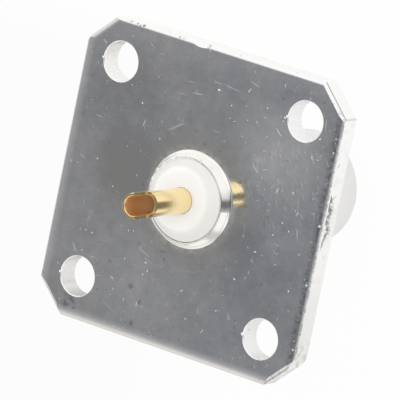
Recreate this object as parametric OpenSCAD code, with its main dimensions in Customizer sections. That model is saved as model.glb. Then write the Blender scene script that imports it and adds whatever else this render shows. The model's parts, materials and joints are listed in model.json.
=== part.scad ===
// Coaxial bayonet jack for a panel: square flange, four holes, solder cup.
// The axis is Z and the rear face of the flange is Z = 0. The solder cup points up,
// and the mating end points down, so the part stands on the rim of its barrel.

/* [Flange] */
// Side of the square flange
flange_side = 25.4; // [23:0.1:32]
// Thickness of the flange
flange_t = 2.1; // [1.4:0.1:4]
// Leg of the cut across each corner
corner_cut = 2.5; // [1.5:0.1:3.5]
// Radius in plan of six of the eight upright corners
corner_r = 0.25; // [0.1:0.05:0.6]
// Radius in plan of the roundest corner, from the +X side to the cut towards -Y
round_corner_r = 3; // [1:0.1:3.4]
// Radius in plan of the corner opposite it
soft_corner_r = 1.4; // [0.6:0.1:3]
// Width of the strips along the +X and -X sides where the rear face falls away
side_fall_w = 0.8; // [0.3:0.05:1.2]
// Width of the like strip along the cut from -X to +Y
cut_fall_w = 0.45; // [0.2:0.05:0.8]
// Slope of the rear face at the outer end of those strips
fall_angle = 6; // [3:1:15]
// Width of the strip along the -Y side, where the rear face is rolled over
rolled_w = 0.9; // [0.4:0.05:1.2]
// Slope of the rear face at the outer end of that strip
rolled_angle = 22; // [10:1:30]
// Radius of the rear edges outside all those strips
edge_r = 0.15; // [0.05:0.01:0.3]
// Radius of the rear edges along the +Y side and the other cuts
soft_edge_r = 0.36; // [0.1:0.01:0.5]
// Radius of the edge all around the front face
front_edge_r = 0.4; // [0.1:0.05:0.6]
// Distance from a side of the flange to the centres of the holes along it
hole_inset = 3.57; // [3.2:0.01:4]
// Diameter of a mounting hole
hole_d = 3.3; // [2.5:0.05:3.4]
// Bevel around each end of a mounting hole
hole_bevel = 0.07; // [0.05:0.01:0.25]

/* [Barrel] */
// Outside diameter of the barrel
barrel_d = 9.6; // [9.4:0.05:9.8]
// Length from the front face of the flange to the rim
barrel_len = 16.05; // [14.5:0.05:24]
// Diameter of the thicker root of the barrel
root_d = 12; // [10.6:0.1:14]
// Length of the root from the front face of the flange
root_len = 4.2; // [2:0.1:5]
// Bevel at the end of the root
root_bevel = 0.5; // [0.2:0.1:1]
// Fillet where the root leaves the flange
root_fillet = 0.4; // [0.1:0.05:0.8]
// Inside diameter of the mouth
mouth_d = 8.1; // [7.9:0.05:8.3]
// Depth from the rim to the seat of the mating shell
mouth_depth = 8.4; // [7.5:0.1:10]
// Bevel on the outer edge of the rim
rim_bevel = 0.25; // [0.1:0.05:0.3]
// Lead-in bevel on the inner edge of the rim
mouth_bevel = 0.3; // [0.1:0.05:0.4]

/* [Bayonet lugs] */
// Diameter of a lug
lug_d = 2; // [1.6:0.05:2.4]
// Distance over the tips of both lugs
lug_span = 11; // [10.5:0.05:11.6]
// Distance from the rim to the middle of a lug
lug_setback = 3.2; // [2.6:0.1:5]
// Bevel around the tip of a lug
lug_bevel = 0.15; // [0.05:0.05:0.3]
// Direction of the first lug, turned from +X about the axis
lug_azimuth = 45; // [0:1:90]

/* [Rear collar] */
// Outside diameter of the collar at the flange
collar_d = 7.64; // [7.6:0.02:8.2]
// Outside diameter of the collar at its rolled edge
collar_edge_d = 7.24; // [7.2:0.02:7.5]
// Inside diameter of the collar at its rolled edge
collar_throat_d = 6.9; // [6.8:0.02:7]
// Height of the collar above the flange
collar_h = 0.9; // [0.7:0.05:1.4]
// Height at which the collar starts to lean inwards
collar_bend_h = 0.2; // [0.1:0.05:0.4]

/* [Insulators] */
// Diameter of the bore that holds both insulators
seat_d = 7.2; // [7.1:0.05:7.6]
// Inside diameter of the lip that stops the front insulator
lip_d = 6.5; // [5.6:0.1:6.8]
// Thickness of that lip along the axis
lip_t = 1; // [0.6:0.1:2]
// Diameter of the post inside the mouth
post_d = 4.72; // [4.4:0.02:5]
// Length of the post from the seat of the mating shell
post_len = 5.1; // [4:0.1:5.5]
// Bevel at the tip of the post
post_bevel = 0.2; // [0.1:0.05:0.5]
// Depth of the joint between the insulators below the rear face
joint_depth = 4; // [3:0.1:5.5]
// Height of the rear insulator's flat face above the rear face
disc_h = 1.4; // [1.2:0.05:2.2]
// Diameter of that flat face
disc_d = 5.3; // [4.5:0.1:6]
// Height of the rear insulator's outer edge above the rear face
disc_edge_h = 0.85; // [0.6:0.05:1]
// Radius where the flat face rolls over into its sloping border
disc_round_r = 1; // [0.2:0.1:1.4]
// Open ring between that edge and the collar
disc_gap = 0.06; // [0.04:0.01:0.12]
// Radial clearance of each insulator in its bore
insulator_fit = 0.02; // [0.01:0.01:0.05]

/* [Centre contact] */
// Diameter of the contact
contact_d = 2.15; // [2:0.05:2.5]
// Height of the solder cup's tip above the rear face
cup_tip_h = 8.4; // [6.5:0.1:11]
// Inside diameter of the solder cup
cup_bore_d = 1.62; // [1.3:0.02:1.75]
// Depth of the solder cup
cup_depth = 5; // [2.6:0.1:6]
// Length of the notch in the cup's side
notch_len = 1.95; // [1:0.05:2.4]
// Distance from the axis to the floor of the notch
notch_offset = 0.12; // [0:0.02:0.6]
// Radius at the inner end of the notch's floor
notch_round_r = 0.25; // [0.1:0.05:0.5]
// Direction that the notch faces, turned from +X about the axis
notch_azimuth = 16; // [0:1:90]
// Bevel around the cup's tip
cup_bevel = 0.08; // [0.04:0.02:0.12]
// Diameter of the shoulder held between the insulators
shoulder_d = 3.4; // [2.9:0.1:4.4]
// Thickness of the shoulder
shoulder_t = 0.8; // [0.5:0.1:1.5]
// Distance that the socket's tip sits back from the post's tip
socket_setback = 0.2; // [0.1:0.05:0.6]
// Inside diameter of the socket
socket_bore_d = 1.4; // [1.35:0.01:1.5]
// Depth of the socket
socket_depth = 6; // [5:0.1:7]
// Lead-in bevel at the socket's mouth
socket_bevel = 0.2; // [0.1:0.02:0.25]
// Width of the slots that make the socket springy
slot_w = 0.2; // [0.1:0.02:0.25]
// Length of those slots
slot_len = 4.2; // [3:0.1:4.5]
// Room around the springy end of the socket
spring_room = 0.15; // [0.1:0.05:0.4]
// Radial clearance of the contact in the insulators
contact_fit = 0.02; // [0.01:0.01:0.05]

/* [Gate scar] */
// Middle of the torn gate along the +X side
scar_y = 1.65; // [-4:0.05:4]
// Length of the torn gate along the side
scar_len = 4.6; // [2:0.1:6]
// Width of the torn gate in its middle
scar_w = 1.1; // [0.3:0.05:1.2]
// Distance that both ends of the tear bend towards the rear face
scar_bend = 0.5; // [0:0.05:0.55]
// Depth of the tear
scar_depth = 0.25; // [0.1:0.05:0.35]

/* [Edge dent] */
// Middle of the dent in the +Y edge
dent_x = -1.9; // [-6:0.1:6]
// Length of the dent along that edge
dent_len = 2.5; // [1:0.1:3]
// Depth of the dent below the edge's sharp corner
dent_depth = 0.3; // [0.2:0.01:0.4]

/* [Hidden] */
round_fn = 96;
hole_fn = 48;
arc_steps = 9;
scar_steps = 16;
octant = 45;
quarter = 90;
// Overshoot of a cut past the face that it opens
cut_over = 1;
// Half angle of the point that a drill leaves
drill_half_angle = 59;

flange_front_z = -flange_t;
rim_z = flange_front_z - barrel_len;
mouth_floor_z = rim_z + mouth_depth;
lip_top_z = mouth_floor_z + lip_t;
lug_z = rim_z + lug_setback;
joint_z = -joint_depth;
post_tip_z = mouth_floor_z - post_len;
socket_tip_z = post_tip_z + socket_setback;

seat_r = seat_d / 2;
lip_r = lip_d / 2;
contact_r = contact_d / 2;
insulator_r = seat_r - insulator_fit;
passage_r = contact_r + contact_fit;
throat_r = collar_throat_d / 2;
// Radius of the collar's rounded edge, half as thick as the wall there
lip_round_r = (collar_edge_d - collar_throat_d) / 4;
lip_centre = [throat_r + lip_round_r, collar_h - lip_round_r];
half_side = flange_side / 2;
hole_pitch = flange_side - 2 * hole_inset;
// Distance from the axis to the plane of a corner cut
half_corner = (flange_side - corner_cut) / sqrt(2);

// Height at which the insulator's full radius meets the leaning collar
collar_lean = (seat_r - throat_r) / (lip_centre.y - collar_bend_h);
disc_stop_h = collar_bend_h + insulator_fit / collar_lean;

function polar(r, a) = [r * cos(a), r * sin(a)];

// Points of an arc, in steps that share the angle evenly
function arc(centre, r, from, to) =
    [for (i = [0:arc_steps]) centre + polar(r, from + (to - from) * i / arc_steps)];

// Distance from the axis to a side of the flange, or to a corner cut
function flat_distance(k) = k % 2 == 0 ? half_side : half_corner;

// Width of the strip that falls away along a flat: the flats run on from +X towards +Y
function strip_w(k) = k % 4 == 0 ? side_fall_w : k == 3 ? cut_fall_w : k == 6 ? rolled_w : 0;

// Slope at the outer end of that strip
function strip_slope(k) = strip_w(k) == 0 ? 0 : k == 6 ? rolled_angle : fall_angle;

// Radius in plan between a flat and the next one
function plan_r(k) = k == 7 ? round_corner_r : k == 3 ? soft_corner_r : corner_r;

// Centre of the arc in plan between a flat and the next one
function corner_centre(k) =
    let (
        a = octant * k,
        b = a + octant,
        p = flat_distance(k) - plan_r(k),
        q = flat_distance(k + 1) - plan_r(k)
    )
    [p * sin(b) - q * sin(a), q * cos(a) - p * cos(b)] / sin(octant);

// Plan outline of the flange
function flange_outline() =
    [for (k = [0:7]) each arc(corner_centre(k), plan_r(k), octant * k, octant * (k + 1))];

// Points of such a strip, from its low end at a given distance from the axis
function strip(low_x, w, slope) =
    let (
        strip_r = w / sin(slope),
        points = arc([low_x - w, -strip_r], strip_r, quarter - slope, quarter)
    )
    [for (i = [1:arc_steps]) points[i]];

// Half a section of the flange at a flat, from its front face to its rear face
function half_section(k) =
    let (
        half = flat_distance(k),
        w = strip_w(k),
        slope = strip_slope(k),
        r = w > 0 ? edge_r : soft_edge_r,
        front_centre = [half - front_edge_r, flange_front_z + front_edge_r],
        edge_centre = [half - r, -w * tan(slope / 2) - r * cos(slope)]
    )
    concat(
        arc(front_centre, front_edge_r, -quarter, 0),
        arc(edge_centre, r, 0, quarter - slope),
        w > 0 ? strip(edge_centre.x + r * sin(slope), w, slope) : []
    );

// Section across the flange between a flat and the opposite one
function flange_section(k) =
    let (far = half_section(k + 4))
    concat(half_section(k), [for (i = [len(far) - 1:-1:0]) [-far[i].x, far[i].y]]);

// The plate is what its plan outline and a rounded section for each pair of flats share
module flange_plate() {
    intersection() {
        translate([0, 0, flange_front_z])
            linear_extrude(flange_t)
                polygon(flange_outline());
        intersection_for (k = [0:3])
            rotate([quarter, 0, octant * k])
                linear_extrude(2 * flange_side, center = true)
                    polygon(flange_section(k));
    }
}

// Outside of the turned stretches: collar, root and barrel
module turned_outside() {
    root_end_z = flange_front_z - root_len;
    barrel_r = barrel_d / 2;
    root_r = root_d / 2;
    fillet_centre = [root_r + root_fillet, flange_front_z - root_fillet];
    // The hollow at the collar's foot runs on smoothly from its leaning wall
    collar_r = collar_d / 2;
    lean = atan((collar_r - collar_edge_d / 2) / (lip_centre.y - collar_bend_h));
    hollow_r = collar_bend_h / (1 - sin(lean));
    hollow_centre = [collar_r + hollow_r * cos(lean), hollow_r];
    rotate_extrude($fn = round_fn)
        polygon(concat(
            [[0, collar_h]],
            arc(lip_centre, lip_round_r, quarter, 0),
            arc(hollow_centre, hollow_r, 2 * quarter + lean, 3 * quarter),
            [
                [hollow_centre.x, -flange_t / 2],
                [root_r + root_fillet, -flange_t / 2]
            ],
            arc(fillet_centre, root_fillet, quarter, 2 * quarter),
            [
                [root_r, root_end_z + root_bevel],
                [root_r - root_bevel, root_end_z],
                [barrel_r, root_end_z],
                [barrel_r, rim_z + rim_bevel],
                [barrel_r - rim_bevel, rim_z],
                [0, rim_z]
            ]
        ));
}

// Stepped bore: mouth, stop lip, insulator seat, and the throat of the rolled collar
module body_bore() {
    mouth_r = mouth_d / 2;
    rotate_extrude($fn = round_fn)
        polygon(concat(
            [
                [0, rim_z - cut_over],
                [mouth_r + mouth_bevel, rim_z - cut_over],
                [mouth_r + mouth_bevel, rim_z],
                [mouth_r, rim_z + mouth_bevel],
                [mouth_r, mouth_floor_z],
                [lip_r, mouth_floor_z],
                [lip_r, lip_top_z],
                [seat_r, lip_top_z],
                [seat_r, collar_bend_h]
            ],
            arc(lip_centre, lip_round_r, 2 * quarter, quarter),
            [
                [lip_centre.x, collar_h + cut_over],
                [0, collar_h + cut_over]
            ]
        ));
}

// One round lug, standing out of the barrel's wall
module lug(azimuth) {
    lug_r = lug_d / 2;
    start = (barrel_d + mouth_d) / 4;
    rotate([0, 0, azimuth])
        translate([start, 0, lug_z])
            rotate([0, quarter, 0]) {
                cylinder(r = lug_r, h = lug_span / 2 - start - lug_bevel, $fn = hole_fn);
                translate([0, 0, lug_span / 2 - start - lug_bevel])
                    cylinder(r1 = lug_r, r2 = lug_r - lug_bevel, h = lug_bevel, $fn = hole_fn);
            }
}

// Mounting hole with a small bevel at both faces
module mounting_hole() {
    hole_r = hole_d / 2;
    rotate_extrude($fn = hole_fn)
        polygon([
            [0, cut_over],
            [hole_r + hole_bevel, cut_over],
            [hole_r + hole_bevel, 0],
            [hole_r, -hole_bevel],
            [hole_r, flange_front_z + hole_bevel],
            [hole_r + hole_bevel, flange_front_z],
            [hole_r + hole_bevel, flange_front_z - cut_over],
            [0, flange_front_z - cut_over]
        ]);
}

// Torn gate on the +X side: a shallow crescent with pointed ends
module gate_scar() {
    middle_z = -2 * edge_r - scar_w / 2;
    positions = [for (i = [0:scar_steps]) 2 * i / scar_steps - 1];
    middle = [for (t = positions) [scar_y + t * scar_len / 2, middle_z + scar_bend * t * t]];
    half_width = [for (t = positions) [0, (1 - t * t) * scar_w / 2]];
    upper = [for (i = [0:scar_steps]) middle[i] + half_width[i]];
    lower = [for (i = [1:scar_steps - 1]) middle[i] - half_width[i]];
    translate([half_side - scar_depth, 0, 0])
        rotate([quarter, 0, quarter])
            linear_extrude(scar_depth + cut_over)
                polygon(concat(upper, [for (i = [len(lower) - 1:-1:0]) lower[i]]));
}

// Dent across the edge between the rear face and the +Y side
module edge_dent() {
    dent_r = (dent_len * dent_len / 4 + dent_depth * dent_depth) / (2 * dent_depth);
    translate([dent_x, half_side, 0])
        rotate([octant, 0, 0])
            translate([0, dent_r - dent_depth, 0])
                cylinder(r = dent_r, h = flange_t, center = true, $fn = hole_fn);
}

module body() {
    color([0.75, 0.75, 0.76])
        difference() {
            union() {
                flange_plate();
                turned_outside();
                lug(lug_azimuth);
                lug(lug_azimuth + 2 * quarter);
            }
            body_bore();
            for (x = [-1, 1], y = [-1, 1])
                translate([x, y, 0] * hole_pitch / 2)
                    mounting_hole();
            gate_scar();
            edge_dent();
        }
}

module front_insulator() {
    neck_r = lip_r - insulator_fit;
    post_r = post_d / 2;
    spring_r = contact_r + spring_room;
    spring_top_z = socket_tip_z + slot_len;
    color([0.95, 0.95, 0.93])
        rotate_extrude($fn = round_fn)
            polygon([
                [passage_r, joint_z],
                [insulator_r, joint_z],
                [insulator_r, lip_top_z],
                [neck_r, lip_top_z],
                [neck_r, mouth_floor_z],
                [post_r, mouth_floor_z],
                [post_r, post_tip_z + post_bevel],
                [post_r - post_bevel, post_tip_z],
                [spring_r, post_tip_z],
                [spring_r, spring_top_z],
                [passage_r, spring_top_z]
            ]);
}

module rear_insulator() {
    pocket_r = shoulder_d / 2 + contact_fit;
    pocket_z = joint_z + shoulder_t;
    disc_edge_r = throat_r - disc_gap;
    slope = atan((disc_h - disc_edge_h) / (disc_edge_r - disc_d / 2));
    round_centre = [disc_d / 2 - disc_round_r * tan(slope / 2), disc_h - disc_round_r];
    color([0.97, 0.97, 0.95])
        rotate_extrude($fn = round_fn)
            polygon(concat(
                [
                    [pocket_r, joint_z],
                    [insulator_r, joint_z],
                    [insulator_r, disc_stop_h],
                    [disc_edge_r, disc_edge_h]
                ],
                arc(round_centre, disc_round_r, quarter - slope, quarter),
                [
                    [passage_r, disc_h],
                    [passage_r, pocket_z],
                    [pocket_r, pocket_z]
                ]
            ));
}

module centre_contact() {
    shoulder_r = shoulder_d / 2;
    cup_r = cup_bore_d / 2;
    cup_floor_z = cup_tip_h - cup_depth;
    socket_r = socket_bore_d / 2;
    socket_floor_z = socket_tip_z + socket_depth;
    notch_floor_z = cup_tip_h - notch_len;
    notch_centre = [notch_offset + notch_round_r, notch_floor_z + notch_round_r];
    color([0.86, 0.69, 0.34])
        difference() {
            rotate_extrude($fn = round_fn)
                polygon([
                    [0, socket_tip_z],
                    [contact_r, socket_tip_z],
                    [contact_r, joint_z],
                    [shoulder_r, joint_z],
                    [shoulder_r, joint_z + shoulder_t],
                    [contact_r, joint_z + shoulder_t],
                    [contact_r, cup_tip_h - cup_bevel],
                    [contact_r - cup_bevel, cup_tip_h],
                    [0, cup_tip_h]
                ]);
            // Solder cup with its drilled floor
            rotate_extrude($fn = round_fn)
                polygon([
                    [0, cup_tip_h + cut_over],
                    [cup_r + cup_bevel, cup_tip_h + cut_over],
                    [cup_r + cup_bevel, cup_tip_h],
                    [cup_r, cup_tip_h - cup_bevel],
                    [cup_r, cup_floor_z],
                    [0, cup_floor_z - cup_r / tan(drill_half_angle)]
                ]);
            // Socket with its lead-in
            rotate_extrude($fn = round_fn)
                polygon([
                    [0, socket_tip_z - cut_over],
                    [socket_r + socket_bevel, socket_tip_z - cut_over],
                    [socket_r + socket_bevel, socket_tip_z],
                    [socket_r, socket_tip_z + socket_bevel],
                    [socket_r, socket_floor_z],
                    [0, socket_floor_z + socket_r / tan(drill_half_angle)]
                ]);
            // Two crossed saw cuts leave four springy fingers
            for (a = [0, quarter])
                rotate([0, 0, lug_azimuth + a])
                    translate([-contact_d, -slot_w / 2, socket_tip_z - cut_over])
                        cube([2 * contact_d, slot_w, slot_len + cut_over]);
            // Notch that opens the cup's side for the wire
            rotate([quarter, 0, notch_azimuth])
                linear_extrude(2 * contact_d, center = true)
                    polygon(concat(
                        [[notch_offset, cup_tip_h + cut_over]],
                        arc(notch_centre, notch_round_r, 2 * quarter, 3 * quarter),
                        [
                            [2 * contact_d, notch_floor_z],
                            [2 * contact_d, cup_tip_h + cut_over]
                        ]
                    ));
        }
}

body();
front_insulator();
rear_insulator();
centre_contact();
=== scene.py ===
import json
import math

import bpy
from mathutils import Matrix, Vector, noise


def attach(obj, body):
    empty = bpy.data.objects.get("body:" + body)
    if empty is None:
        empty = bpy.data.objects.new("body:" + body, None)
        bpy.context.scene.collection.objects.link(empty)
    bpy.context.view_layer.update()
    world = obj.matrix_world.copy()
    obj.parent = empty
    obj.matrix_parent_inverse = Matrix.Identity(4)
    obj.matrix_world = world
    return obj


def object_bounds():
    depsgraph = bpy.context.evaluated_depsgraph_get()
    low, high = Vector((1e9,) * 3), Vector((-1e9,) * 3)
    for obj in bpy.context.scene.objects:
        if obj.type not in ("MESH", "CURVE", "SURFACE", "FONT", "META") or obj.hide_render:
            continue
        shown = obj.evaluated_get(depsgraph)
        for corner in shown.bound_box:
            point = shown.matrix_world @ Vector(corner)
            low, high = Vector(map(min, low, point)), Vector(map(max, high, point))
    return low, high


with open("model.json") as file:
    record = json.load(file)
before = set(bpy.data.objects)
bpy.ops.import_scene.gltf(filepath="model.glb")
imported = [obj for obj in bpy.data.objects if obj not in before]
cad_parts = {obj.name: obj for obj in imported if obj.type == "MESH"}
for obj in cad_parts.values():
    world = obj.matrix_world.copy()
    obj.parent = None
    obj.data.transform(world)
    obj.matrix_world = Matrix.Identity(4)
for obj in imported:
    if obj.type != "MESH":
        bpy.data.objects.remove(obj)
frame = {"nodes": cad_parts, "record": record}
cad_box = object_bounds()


# Body
# One die casting in zinc alloy, bright plated: square flange, barrel, bayonet lugs and rear collar.
# The plating is a slightly hazy mirror, scratched, chipped and pitted from tumbling with other parts.

mm = 0.001


class Value:
    """One output of a shader node. Arithmetic on it adds Math nodes."""

    def __init__(self, tree, socket=None):
        self.tree = tree
        self.socket = socket

    def node(self, kind, settings=None, sockets=None, out=0):
        made = self.tree.nodes.new(kind)
        for name, setting in (settings or {}).items():
            setattr(made, name, setting)
        for name, given in (sockets or {}).items():
            if isinstance(given, Value):
                self.tree.links.new(given.socket, made.inputs[name])
            else:
                made.inputs[name].default_value = given
        return Value(self.tree, made.outputs[out])

    def out(self, name):
        return Value(self.tree, self.socket.node.outputs[name])

    def maths(self, operation, first, second=0.0):
        return self.node("ShaderNodeMath", {"operation": operation}, {0: first, 1: second})

    def __add__(self, other):
        return self.maths("ADD", self, other)

    def __radd__(self, other):
        return self.maths("ADD", other, self)

    def __sub__(self, other):
        return self.maths("SUBTRACT", self, other)

    def __rsub__(self, other):
        return self.maths("SUBTRACT", other, self)

    def __mul__(self, other):
        return self.maths("MULTIPLY", self, other)

    def __rmul__(self, other):
        return self.maths("MULTIPLY", other, self)

    def __truediv__(self, other):
        return self.maths("DIVIDE", self, other)

    def __rtruediv__(self, other):
        return self.maths("DIVIDE", other, self)

    def __abs__(self):
        return self.maths("ABSOLUTE", self)

    def __lt__(self, other):
        return self.maths("LESS_THAN", self, other)

    def most(self, other):
        return self.maths("MAXIMUM", self, other)

    def fade(self, none, full):
        """0 where the value is none, 1 where it is full, and a smooth step between."""
        return self.node("ShaderNodeMapRange", {"interpolation_type": "SMOOTHSTEP"},
                         {"Value": self, "From Min": none, "From Max": full})

    def colour(self, low, high):
        """A colour between low, at 0, and high, at 1."""
        return self.node("ShaderNodeMix", {"data_type": "RGBA"}, {"Factor": self, 6: low, 7: high}, out=2)


class Surface:
    """A material that knows its place on the object in millimetres."""

    def __init__(self, name):
        self.material = bpy.data.materials.new(name)
        self.material.use_nodes = True
        self.tree = self.material.node_tree
        self.shader = self.tree.nodes["Principled BSDF"]
        start = Value(self.tree)
        self.place = start.node("ShaderNodeVectorMath", {"operation": "SCALE"},
                                {0: start.node("ShaderNodeTexCoord", out="Object"), "Scale": 1 / mm})
        self.x, self.y, self.z = self.parts(self.place)
        self.plan = self.vector(self.x, self.y)
        self.radius = self.distance(self.plan, 0.0, 0.0)
        self.rise = self.parts(start.node("ShaderNodeNewGeometry", out="True Normal"))[2]

    def parts(self, vector):
        split = vector.node("ShaderNodeSeparateXYZ", None, {0: vector})
        return split, split.out("Y"), split.out("Z")

    def vector(self, x, y, z=0.0):
        return self.x.node("ShaderNodeCombineXYZ", None, {0: x, 1: y, 2: z})

    def aside(self, x=0.0, y=0.0, z=0.0):
        """The place moved by some millimetres, so that a second noise differs from the first."""
        return self.vector(self.x + x, self.y + y, self.z + z)

    def distance(self, place, x, y):
        """Distance in plan from a point."""
        return place.node("ShaderNodeVectorMath", {"operation": "DISTANCE"},
                          {0: place, 1: (x, y, 0.0)}, out="Value")

    def ragged(self, place, size, reach):
        """The place shaken by noise, which gives marks a ragged outline."""
        shake = place.node("ShaderNodeTexNoise", None, {"Vector": place, "Scale": 1 / size, "Detail": 1.0})
        return place.node("ShaderNodeVectorMath", {"operation": "MULTIPLY_ADD"},
                          {0: shake.out("Color"), 1: (reach, reach, 0.0), 2: place})

    def spot(self, place, x, y, radius, soft=0.5):
        """A round mark in plan, full inside a soft share of its radius."""
        return (self.distance(place, x, y) / radius).fade(1.0, soft)

    def clouds(self, place, size, detail=2.0):
        """Soft noise from 0 to 1 about a size in millimetres across."""
        return place.node("ShaderNodeTexNoise", None,
                          {"Vector": place, "Scale": 1 / size, "Detail": detail})

    def dots(self, place, pitch, radius, share):
        """Round marks of uneven size, one at most in each cell, in a share of the cells."""
        distance = place.node("ShaderNodeTexVoronoi", None, {"Vector": place, "Scale": 1 / pitch})
        kept, size, _ = self.parts(distance.out("Color"))
        reach = radius / pitch * (0.3 + size)
        return (kept < share) * (distance / reach).fade(1.0, 0.4)

    def scratches(self, turn, length, spacing, share, width=0.1):
        """Fine marks that run in about one direction in plan. The width is a share of their spacing."""
        c, s = math.cos(math.radians(turn)), math.sin(math.radians(turn))
        bend = (self.clouds(self.place, size=5.0) - 0.5) * 2.0
        along = (self.x * c + self.y * s) / (5 * length)
        across = (self.y * c - self.x * s + bend) / spacing
        return self.dots(self.vector(along, across), 1.0, width, share)

    def streak(self, u, v, start, end, width):
        """One straight mark between two points of a plane."""
        middle = [(a + b) / 2 for a, b in zip(start, end)]
        half = math.dist(start, end) / 2
        c, s = [(b - a) / (2 * half) for a, b in zip(start, end)]
        du, dv = u - middle[0], v - middle[1]
        along = (du * c + dv * s) / half
        across = (dv * c - du * s) / width
        return (along * along + across * across).fade(1.0, 0.2)

    def bump(self, height, distance):
        """Height from 0 to 1 over a distance in millimetres."""
        return height.node("ShaderNodeBump", None,
                           {"Height": height, "Strength": 1.0, "Distance": distance * mm})

    def set(self, **sockets):
        for name, given in sockets.items():
            socket = self.shader.inputs[name.replace("_", " ").title()]
            if isinstance(given, Value):
                self.tree.links.new(given.socket, socket)
            else:
                socket.default_value = given

    def cover(self, node):
        frame["nodes"][node].material_slots[0].material = self.material


plate = Surface("plated metal")
half_side = cad_box[1][0] / mm
bolts = next(mount["dims"] for mount in frame["record"]["mounts"] if mount["name"] == "flange_bolts")
half_pitch = bolts["spacing_x_mm"] / 2
hole_radius = bolts["hole_r_mm"]
flat = abs(plate.rise).fade(0.9, 0.98)
wall = 1.0 - flat
rear = plate.rise.fade(0.9, 0.98) * plate.z.fade(-0.3, -0.1)
barrel = plate.z.fade(-2.2, -2.4)

# Broad soft patches, lighter or darker, and a fine grain all over
grain = plate.clouds(plate.place, size=0.22, detail=3.0)
mottle = plate.clouds(plate.aside(y=20.0), size=0.9)
patches = plate.clouds(plate.place, size=3.0, detail=3.0)
tone = patches * 0.1 + (mottle - 0.5) * 0.08 + plate.y.fade(10.0, half_side) * 0.04
for x, y, radius, change in ((7.5, 6.0, 6.0, 0.11), (7.5, -5.5, 6.0, -0.04), (-8.0, 6.0, 6.0, -0.05),
                             (-3.0, -8.0, 6.0, 0.04), (-6.3, 0.8, 4.5, -0.11), (5.5, -2.0, 3.0, -0.06)):
    tone = tone + plate.spot(plate.plan, x, y, radius, soft=0.0) * change

# Hairline scratches in swathes, each in its own direction, over a layer of tiny ticks
swathes = plate.clouds(plate.aside(z=9.0), size=3.0).fade(0.42, 0.62)
worn_patch = plate.spot(plate.plan, 8.5, 4.0, radius=7.0, soft=0.3)
hairlines = plate.scratches(-56, length=0.2, spacing=0.13, share=0.9, width=0.3)
hairlines = hairlines.most(plate.scratches(-72, length=0.24, spacing=0.15, share=0.8, width=0.3))
hairlines = hairlines * worn_patch * 0.3
for turn, length, spacing, share in ((-35, 1.2, 0.45, 0.6), (-75, 1.4, 0.35, 0.6),
                                     (5, 1.0, 0.4, 0.5), (60, 0.8, 0.5, 0.4)):
    hairlines = hairlines.most(plate.scratches(turn, length, spacing, share) * (0.3 + swathes))
ticks = plate.scratches(-80, length=0.35, spacing=0.25, share=0.5)
for turn in (-40, 20):
    ticks = ticks.most(plate.scratches(turn, length=0.3, spacing=0.25, share=0.4))
worn = 0.5 + plate.x.fade(-14.0, 10.0) * 0.5
scratched = (hairlines * 0.45).most(ticks * (0.3 + swathes * 0.4)) * worn * flat

# The deeper scratches, each from end to end, with its width and strength
for start, end, width, strength in (
        ((-1.9, 8.5), (-0.7, 8.6), 0.05, 0.3), ((-3.4, 8.1), (-2.3, 8.2), 0.05, 0.12),
        ((-2.6, 9.3), (-1.7, 9.35), 0.05, 0.12), ((-0.2, 9.95), (0.9, 9.9), 0.05, 0.2),
        ((0.8, 9.98), (3.0, 9.75), 0.05, 0.2), ((3.3, 9.9), (3.6, 10.4), 0.07, 0.3),
        ((3.2, 10.95), (4.4, 10.6), 0.05, 0.22), ((6.5, 7.9), (7.3, 7.3), 0.06, 0.3),
        ((10.2, 7.0), (10.8, 5.8), 0.05, 0.2), ((7.75, 2.7), (8.0, 3.3), 0.07, 0.3),
        ((10.05, 1.5), (10.25, 1.9), 0.06, 0.35), ((9.9, 3.0), (10.2, 2.0), 0.05, 0.15),
        ((-10.3, -6.4), (-9.7, -7.3), 0.05, 0.25), ((-6.1, -8.2), (-5.6, -8.4), 0.06, 0.3),
        ((-4.1, -5.1), (-2.6, -5.7), 0.1, 0.12), ((-3.6, 4.8), (-1.8, 6.0), 0.12, 0.12),
        ((-6.6, -10.2), (-4.6, -11.2), 0.05, 0.12), ((-9.3, -4.9), (-9.0, -3.2), 0.06, 0.1)):
    scratched = scratched.most(plate.streak(plate.x, plate.y, start, end, width) * rear * strength)

# Bright specks all over, and chips where they are on this casting, each turned from the one before
speck_place = plate.ragged(plate.place, size=0.15, reach=0.1)
specks = plate.dots(speck_place, pitch=0.7, radius=0.1, share=0.3) * 0.6
chips = plate.streak(plate.x, plate.y, (12.22, 1.2), (12.52, 1.36), width=0.1)
chip_turn = 2.4
for i, (x, y, size) in enumerate((
        (0.6, 9.4, 0.18), (-6.3, 6.4, 0.12), (3.4, 10.05, 0.1), (-9.5, 0.8, 0.1), (7.0, -2.4, 0.13),
        (5.6, -5.1, 0.13), (10.8, -4.6, 0.12), (10.8, 8.1, 0.13), (4.5, -8.1, 0.1), (7.2, 8.9, 0.15),
        (-4.0, 4.0, 0.1), (2.06, 8.5, 0.1), (5.4, 9.2, 0.1), (3.8, 7.75, 0.08), (9.4, 3.2, 0.1),
        (9.7, 0.1, 0.11), (8.95, 0.6, 0.1), (-2.95, -6.2, 0.12), (-2.65, -6.8, 0.11), (-5.0, -6.45, 0.09),
        (-3.0, -7.2, 0.1), (-9.25, -5.2, 0.09), (-8.6, -5.25, 0.1), (-5.2, -4.1, 0.1), (-4.7, -4.0, 0.08),
        (8.3, -0.6, 0.1), (6.2, 3.6, 0.08), (-7.5, -1.0, 0.08), (1.0, -7.4, 0.09))):
    dx, dy = size * math.cos(chip_turn * i), size * math.sin(chip_turn * i)
    chip = plate.streak(plate.x, plate.y, (x - dx, y - dy), (x + dx, y + dy), width=0.55 * size)
    chips = chips.most(chip * 0.8)

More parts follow.
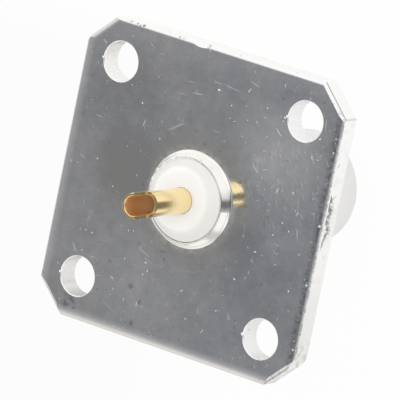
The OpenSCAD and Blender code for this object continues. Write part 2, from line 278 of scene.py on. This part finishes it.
# Around each hole the face is rubbed, its rim has one nick, and its wall is dull
rough_plan = plate.ragged(plate.plan, size=0.2, reach=0.15)
rubbed, bores = 0.0, 0.0
for x in (-half_pitch, half_pitch):
    for y in (-half_pitch, half_pitch):
        ring = plate.spot(plate.plan, x, y, radius=3.2, soft=0.6) * rear
        bore = plate.spot(plate.plan, x, y, radius=hole_radius + 0.15, soft=0.98) * wall
        rubbed = ring.most(rubbed)
        bores = bore.most(bores)
        chips = chips.most(plate.spot(rough_plan, x - hole_radius - 0.01, y, radius=0.16))
rub_place = plate.ragged(plate.place, size=0.15, reach=0.15)
rubs = plate.dots(rub_place, pitch=0.4, radius=0.09, share=0.3)
specks = specks.most(rubbed * rubs * 0.8)

# A cloudy ring around the collar
halo_clouds = plate.clouds(plate.place, size=0.5, detail=4.0).fade(0.3, 0.6)
halo = plate.radius.fade(4.7, 3.9) * halo_clouds * rear

# Pits, dark inside, and a stained patch under the hole in the -X -Y corner
pit_reach = 0.5
pitted_plan = plate.ragged(plate.plan, size=0.2, reach=pit_reach)
pits = plate.dots(plate.aside(x=40.0), pitch=0.8, radius=0.14, share=0.4) * 0.5
for x, y, radius in ((-3.9, -8.5, 0.3), (-2.8, -9.5, 0.3), (-3.2, -11.4, 0.3), (-8.9, -11.8, 0.2),
                     (-6.3, -7.05, 0.2), (-1.7, -4.95, 0.15), (-1.3, -5.35, 0.15)):
    pit = plate.spot(pitted_plan, x + pit_reach / 2, y + pit_reach / 2, radius, soft=0.1)
    pits = pits.most(pit * rear)
stain = plate.spot(plate.plan, -9.6, -11.3, radius=1.0, soft=0.3) * rear
stain = stain * plate.clouds(plate.place, size=0.5, detail=3.0).fade(0.45, 0.6)

# The border along the +X side is battered, with a dark ragged fringe and bright nicks
fringe = plate.ragged(plate.place, size=0.12, reach=0.12)
border = plate.x.fade(half_side - 0.9, half_side - 0.4) * plate.z.fade(-0.2, -0.1)
arris = plate.x.fade(half_side - 0.35, half_side - 0.1) * rear
battered = border * (1.0 - arris) * plate.clouds(fringe, size=0.35, detail=4.0).fade(0.5, 0.57)
nick_plan = plate.ragged(plate.plan, size=0.12, reach=0.12)
nicks = plate.dots(nick_plan, pitch=0.3, radius=0.11, share=0.4)
chips = chips.most(border * nicks * 0.7).most(arris * 0.3) * rear

# The -X end of the +Y edge is nibbled
edge = plate.y.fade(half_side - 0.4, half_side - 0.25) * plate.rise.fade(0.5, 0.7)
nibbles = edge * plate.x.fade(-3.0, -5.0) * plate.dots(plate.plan, pitch=0.35, radius=0.17, share=0.8)

# The wall of the round corner is battered too, its rounded edge is painted darker, and a thin seam runs
# down the next corner
corner = plate.x.fade(8.0, 11.0) * plate.y.fade(-6.0, -9.5) * wall
rough_wall = corner * plate.clouds(fringe, size=0.6, detail=6.0).fade(0.52, 0.6) * 0.7
rounded = plate.rise.fade(0.3, 0.5) * plate.rise.fade(0.99, 0.95)
darker_rounded_edge = plate.x.fade(8.0, 10.0) * plate.y.fade(-8.5, -9.5) * rounded
seam = plate.spot(plate.plan, half_side, 10.2, radius=0.16, soft=0.2)

# Cracks and smudges in the +X wall around the torn gate. The cracks' dark colour is painted shade, and the
# wall is painted darker toward -Y, painted shade too.
outer = wall * plate.x.fade(half_side - 0.4, half_side - 0.1)
blotches = plate.clouds(plate.place, size=0.9, detail=3.0).fade(0.5, 0.7)
# Real smudges, and toward -Y a painted shade.
smudges_and_shade = outer * blotches.most(plate.y.fade(-1.0, -6.0) * 0.8)
cracks = rough_wall
for start, end, width in (((3.95, -1.25), (3.3, -0.35), 0.07), ((3.45, -0.55), (2.9, -0.25), 0.14),
                          ((-0.1, -0.6), (-0.75, -0.35), 0.07), ((6.6, -0.75), (6.1, -0.3), 0.06)):
    cracks = cracks.most(plate.streak(plate.y, plate.z, start, end, width) * outer)

# The plating is cool toward +X and a little warmer toward -X. Around the collar it is painted warm: a
# painted reflection of the collar and the white insulator.
tint = plate.clouds(plate.aside(x=30.0), size=4.0) + plate.x.fade(12.0, -12.0) * 0.5 - 0.25
warm_patch_and_collar_reflection = plate.radius.fade(6.5, 4.2).most(plate.spot(plate.plan, -7.0, 0.5, radius=4.5, soft=0.1)) * rear
plating = tint.colour((0.955, 0.962, 0.98, 1), (0.975, 0.965, 0.945, 1))
plating = warm_patch_and_collar_reflection.colour(plating, (0.97, 0.95, 0.88, 1))
dark = pits.most(stain).most(cracks * 0.8).most(battered * 0.9).most(nibbles * 1.5).most(seam * 0.6)
# The barrel is painted a little darker: painted shade under the flange.
dark = dark.most(barrel * 0.1).most(smudges_and_shade * 0.2).most(darker_rounded_edge * 0.2)
haze = tone + (grain - 0.5) * 0.08 + scratched + specks * 0.3 + halo * 0.14
plate.set(
    base_color=(dark * 0.6).colour(plating, (0.3, 0.3, 0.3, 1)),
    metallic=1.0 - (haze * flat).most(specks * 0.3).most(chips * 0.9).most(bores * 0.5),
    roughness=0.035 + patches * 0.04 + grain * 0.03 + cracks * 0.2 + barrel * 0.1,
    normal=plate.bump((grain * 0.06 + specks * 0.2) * (1.0 - bores) - cracks * 0.5, distance=0.03),
)
plate.cover("body")


# Torn gate
# Where the casting was broken off its runner, the metal is left torn in a shallow crescent on the +X side.
# It is plated over with the body, so it is the same metal, rough and full of cracks. Its colour darkens
# with depth: painted shade in the cracks.

gate_y, gate_z = 1.65, -0.85
gate_half, gate_width, gate_bend, gate_depth = 2.3, 1.1, 0.5, 0.25
gate_clearance, built_share = 0.01, 0.97
along_count, across_count = 150, 40
crack = [Vector(place) for place in (
    (3.75, -0.45), (3.3, -0.5), (2.9, -0.5), (2.4, -0.9), (1.95, -0.45),
    (1.4, -0.7), (0.9, -1.0), (0.5, -0.9), (0.1, -0.6), (-0.4, -0.45))]


def crack_distance(point):
    """Distance from a point of the wall to the nearest stretch of the crack."""
    nearest = []
    for a, b in zip(crack, crack[1:]):
        share = min(1.0, max(0.0, (point - a).dot(b - a) / (b - a).length_squared))
        nearest.append((point - a - (b - a) * share).length)
    return min(nearest)


def wall_noise(y, z, layer, scale):
    """Noise from -1 to 1 over the wall, with another pattern in each layer."""
    return noise.noise(Vector((y, z, layer)) * scale)


def add_mesh(name, points, faces, surface):
    """An object in the scene, from points in millimetres."""
    mesh = bpy.data.meshes.new(name)
    mesh.from_pydata([Vector(point) * mm for point in points], [], faces)
    mesh.materials.append(surface.material)
    piece = bpy.data.objects.new(name, mesh)
    bpy.context.scene.collection.objects.link(piece)
    return piece


# A torn front, a flat back at the pocket's full depth, and a border that closes them
# The crescent's pointed ends are left off. The crack gapes unevenly, more toward +Y, with crumbs beside it.
torn_front, flat_back = [], []
for i in range(along_count + 1):
    s = built_share * (2 * i / along_count - 1)
    for j in range(across_count + 1):
        t = 2 * j / across_count - 1
        y = gate_y + gate_half * s
        z = gate_z + gate_bend * s * s + t * ((1 - s * s) * gate_width / 2 - gate_clearance)
        shake = Vector((wall_noise(y, z, 0.0, 4.0), wall_noise(y, z, 7.0, 4.0))) * 0.25
        gape = 0.26 + 0.2 * wall_noise(y, z, 3.0, 3.0) + 0.12 * max(0.0, y - gate_y) / gate_half
        opened = 1.0 - crack_distance(Vector((y, z)) + shake) / gape
        crumbs = 0.12 + 0.25 * wall_noise(y, z, 5.0, 9.0)
        ease = min(1.0, 3 * (1 - abs(t))) * min(1.0, 8 * (1 - abs(s)))
        depth = 0.002 + ease * gate_depth * min(0.9, max(0.02, opened, crumbs))
        torn_front.append((half_side - depth, y, z))
        flat_back.append((half_side - gate_depth, y, z))
row, back_start = across_count + 1, len(torn_front)
faces = []
for i in range(along_count):
    for j in range(across_count):
        a = i * row + j
        b = back_start + a
        faces.append((a, a + row, a + row + 1, a + 1))
        faces.append((b, b + 1, b + row + 1, b + row))
rim = [i * row for i in range(along_count + 1)]
rim += [along_count * row + j for j in range(1, row)]
rim += [i * row + across_count for i in reversed(range(along_count))]
rim += list(reversed(range(1, across_count)))
for a, b in zip(rim, rim[1:] + rim[:1]):
    faces.append((b, a, back_start + a, back_start + b))

torn = Surface("torn metal")
# The deeper the torn surface, the darker its colour: painted shade.
deep = (half_side - torn.x).fade(0.02, 0.14)
torn.set(
    base_color=deep.colour((0.97, 0.97, 0.96, 1), (0.52, 0.51, 0.49, 1)),
    metallic=1.0 - deep * 0.35,
    roughness=0.1 + deep * 0.3,
    normal=torn.bump(deep * torn.clouds(torn.place, size=0.08, detail=3.0), distance=0.02),
)
gate = add_mesh("torn_gate", torn_front + flat_back, faces, torn)
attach(gate, "root")


# Front insulator
# Turned white PTFE, pushed into the body from behind against its stop lip.
# Its front end is the post that a plug slides over.
# The rear insulator shares its material. Its sloping border is painted greyer, a little more toward +X and
# -Y: painted shade.

ptfe = Surface("ptfe")
turned = ptfe.clouds(ptfe.vector(ptfe.radius, ptfe.z), size=0.06)
# The sloping border is painted greyer: painted shade.
shaded_border = (1.0 - ptfe.spot(ptfe.plan, -0.2, 0.1, radius=2.85, soft=0.86)) * ptfe.z.fade(0.3, 0.5)
milky = ptfe.clouds(ptfe.place, size=1.5).colour((0.93, 0.925, 0.905, 1), (0.96, 0.96, 0.95, 1))
ptfe.set(
    base_color=shaded_border.colour(milky, (0.83, 0.82, 0.78, 1)),
    roughness=0.4,
    normal=ptfe.bump(turned, distance=0.004),
)
ptfe.cover("front_insulator")


# Centre contact
# One turned brass pin, gold plated, with a slotted socket in front and a solder cup behind.
# Its shoulder is trapped between the two insulators.
# Inside, the cup is painted dull and brown: painted shade. It is paler deeper down, painted light, and
# darker at its sides, painted shade. Its rim has a nick.

gold = Surface("gold plate")
cup = gold.radius.fade(0.9, 0.84) * gold.z.fade(2.0, 2.2)
cup_depth = gold.z.fade(8.0, 4.0)
cup_side = abs(gold.y).fade(0.5, 0.85)
cup_nick = gold.spot(gold.plan, 0.03, 1.06, radius=0.18) * gold.z.fade(8.1, 8.3)
# Less metallic inside the cup, and more so deeper down: part of the painted shade.
painted_cup_shade = cup * (0.15 + cup_depth * cup_depth * 0.85)
lathe_marks = gold.clouds(gold.vector(gold.radius, gold.z), size=0.08)
# Paler deeper down is painted light, and darker at the sides is painted shade.
brown = cup_depth.colour((1.0, 0.68, 0.33, 1), (1.0, 0.8, 0.52, 1))
brown = cup_side.colour(brown, (0.85, 0.55, 0.28, 1))
gilt = cup.colour((0.98, 0.8, 0.45, 1), brown)
gold.set(
    base_color=cup_nick.colour(gilt, (0.97, 0.96, 0.92, 1)),
    metallic=1.0 - painted_cup_shade - cup_nick * 0.6,
    roughness=0.13 + cup * 0.22 + lathe_marks * 0.08,
    normal=gold.bump(lathe_marks, distance=0.002),
)
gold.cover("centre_contact")


# Rear insulator
# A second turned PTFE piece, which holds the contact's shoulder against the front one.
# The collar's edge is rolled over its sloping border and keeps the stack together.

ptfe.cover("rear_insulator")


# Crimp burr
# Where the collar was rolled over the insulator, its edge cracked on one side and pushed up a thin burr.
# It is the body's own metal, ragged and bright.

burr_start, burr_end = math.radians(75), math.radians(195)
burr_radius, burr_z, burr_thickness = 3.46, 0.82, 0.16
spine_count, ring_count = 400, 12
points, faces = [], []
for i in range(spine_count + 1):
    share = i / spine_count
    a = burr_start + (burr_end - burr_start) * share
    outward = Vector((math.cos(a), math.sin(a), 0.0))
    spine = outward * burr_radius + Vector((0.0, 0.0, burr_z))
    swell = 0.6 + 0.6 * noise.noise(spine * 2.5) + 0.8 * noise.noise(spine * 8.0)
    taper = math.sin(math.pi * (0.02 + 0.96 * share)) ** 0.5
    thickness = burr_thickness * taper * min(1.0, max(0.5, swell))
    for j in range(ring_count):
        b = 2 * math.pi * j / ring_count
        reach = thickness * (1.0 + 0.6 * noise.noise(spine * 9.0 + Vector((j, 0.0, 0.0))))
        points.append(spine + outward * reach * math.cos(b) + Vector((0.0, 0.0, reach * math.sin(b))))
for i in range(spine_count):
    for j in range(ring_count):
        k = (j + 1) % ring_count
        a = i * ring_count
        faces.append((a + j, a + ring_count + j, a + ring_count + k, a + k))
faces.append(tuple(range(ring_count)))
faces.append(tuple(reversed(range(spine_count * ring_count, (spine_count + 1) * ring_count))))

frosted = Surface("frosted metal")
frosted.set(
    base_color=frosted.clouds(frosted.place, size=0.2).colour((0.9, 0.9, 0.89, 1), (0.97, 0.97, 0.96, 1)),
    metallic=0.4,
    roughness=0.3 + frosted.clouds(frosted.place, size=0.15) * 0.2,
)
burr = add_mesh("crimp_burr", points, faces, frosted)
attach(burr, "root")


# Floor
# A pale sheet of paper that the part stands on with the rim of its barrel. The camera sees it white.
# The metal mirrors it pale near the part and in two lanes, where it glows for the metal alone, and grey far
# off, on the -X side and toward -Y: painted shade.

floor_reach, floor_z = 1500.0, cad_box[0][2] / mm
lane_azimuths = (121, 348)
white_share = 0.95
paper = Surface("floor")
# Toward -Y, far off and on the -X side the floor is painted darker for the metal: painted shade.
shade = paper.y.fade(14.0, -45.0)
far = paper.radius.fade(27.0, 62.0)
for azimuth in lane_azimuths:
    a = math.radians(azimuth)
    lane = ((paper.x * math.cos(a) + paper.y * math.sin(a)) / paper.radius).fade(0.9, 0.97)
    far = far * (1.0 - lane)
behind = paper.x.fade(-2.0, -20.0) * paper.y.fade(12.0, 4.0)
far = far.most(behind * 0.8)
pale = shade.colour((0.96, 0.95, 0.92, 1), (0.68, 0.645, 0.6, 1))
paper.set(base_color=far.colour(pale, (0.3, 0.3, 0.3, 1)), roughness=0.9)
seen = paper.x.node("ShaderNodeLightPath", out="Is Camera Ray")
mirrored = seen.out("Is Glossy Ray") * (0.5 - shade * 0.25) * (1.0 - far)
white = (seen + seen.out("Is Transmission Ray")) * white_share + mirrored
glow = seen.node("ShaderNodeEmission", None, {"Color": (1, 1, 1, 1), "Strength": 1.0})
lit = Value(paper.tree, paper.shader.outputs[0])
mixed = seen.node("ShaderNodeMixShader", None, {0: white, 1: lit, 2: glow})
paper.tree.links.new(mixed.socket, paper.tree.nodes["Material Output"].inputs["Surface"])
corners = [(x * floor_reach, y * floor_reach, floor_z) for x, y in ((-1, -1), (1, -1), (1, 1), (-1, 1))]
floor = add_mesh("floor", corners, [(0, 1, 2, 3)], paper)


# Light
# A tent around the part, grey at its foot and its roof, with paler and darker panels between.
# One narrow dark gap stands on the camera's side. The metal mirrors only the tent and the floor.
# Two soft lamps, which it doesn't mirror, add light to the white plastic.

scene = bpy.context.scene
scene.world = bpy.data.worlds.new("studio")
scene.world.use_nodes = True
tent = Value(scene.world.node_tree)
direction = tent.node("ShaderNodeTexCoord", out="Generated")


def toward(azimuth, elevation):
    """A direction of length 1 from angles in degrees."""
    a, e = math.radians(azimuth), math.radians(elevation)
    return Vector((math.cos(e) * math.cos(a), math.cos(e) * math.sin(a), math.sin(e)))


def along(vector):
    """How far the tent's own direction points the same way, from -1 to 1."""
    return tent.node("ShaderNodeVectorMath", {"operation": "DOT_PRODUCT"},
                     {0: direction, 1: vector}, out="Value")


# Each panel has the direction of its middle, the angles where it ends and where it is full, and its colour
cloth = along(toward(0, 90)).fade(0.0, 0.5).colour((0.5, 0.505, 0.51, 1), (0.75, 0.755, 0.76, 1))
for azimuth, elevation, end, full, panel in (
        (245, 0, 60, 20, (0.84, 0.8, 0.74, 1)),
        (0, 90, 72, 31, (0.213, 0.217, 0.229, 1)),
        (201, 85, 35, 10, (0.12, 0.123, 0.132, 1)),
        (80, 60, 38, 20, (0.93, 0.93, 0.93, 1)),
        (122, 12, 50, 30, (1.0, 1.0, 1.0, 1)),
        (327, 28, 24, 9, (1.03, 1.03, 1.03, 1)),
        (166, 45, 20, 8, (1.0, 1.0, 1.0, 1)),
        (48, 55, 25, 10, (1.06, 1.06, 1.06, 1)),
        (55, 22, 40, 15, (1.0, 1.0, 1.0, 1)),
        (335, 50, 35, 20, (1.0, 1.0, 1.0, 1)),
        (258, 36, 24, 10, (1.0, 0.99, 0.97, 1)),
        (357, 60, 22, 14, (0.2, 0.2, 0.2, 1))):
    closeness = along(toward(azimuth, elevation))
    share = closeness.fade(math.cos(math.radians(end)), math.cos(math.radians(full)))
    cloth = share.colour(cloth, panel)
gap_azimuth = 3
gap = abs(along(toward(gap_azimuth + 90, 0))).fade(0.25, 0.05)
gap = gap * along(toward(gap_azimuth, 0)).fade(0.1, 0.3)
cloth = gap.colour(cloth, (0.12, 0.12, 0.12, 1))
scene.world.node_tree.links.new(cloth.socket, scene.world.node_tree.nodes["Background"].inputs["Color"])

lamp_distance = 0.5
for name, azimuth, elevation, size, power in (("key lamp", 215, 50, 0.9, 1.15),
                                              ("fill lamp", 21, 57, 0.4, 0.75)):
    lamp = bpy.data.lights.new(name, "AREA")
    lamp.size = size
    lamp.energy = power
    aim = toward(azimuth, elevation)
    holder = bpy.data.objects.new(name, lamp)
    facing = aim.to_track_quat("Z", "Y").to_matrix().to_4x4()
    holder.matrix_world = Matrix.Translation(aim * lamp_distance) @ facing
    holder.visible_glossy = False
    scene.collection.objects.link(holder)


# Camera
# A long lens looks down on the solder side, turned so that the rows of holes climb to the left.
# Its direction, distance and frame were fitted to the flange's corners, the holes and the barrel's rim.

right = Vector((0.81548, 0.19728, -0.54413))
back = Vector((0.51014, 0.19912, 0.83673)).normalized()
up = back.cross(right).normalized()
right = up.cross(back)
camera_distance, frame_width = 584.71 * mm, 32.424 * mm
shift_right, shift_down = 0.7964 * mm, 0.0307 * mm
camera = bpy.data.objects.new("camera", bpy.data.cameras.new("camera"))
camera.data.sensor_width = 36
camera.data.lens = camera.data.sensor_width * camera_distance / frame_width
camera.data.clip_start = 0.01
stand = right * shift_right - up * shift_down + back * camera_distance
camera.matrix_world = Matrix.Translation(stand) @ Matrix((right, up, back)).transposed().to_4x4()
scene.collection.objects.link(camera)
scene.camera = camera
scene.view_settings.view_transform = "Standard"
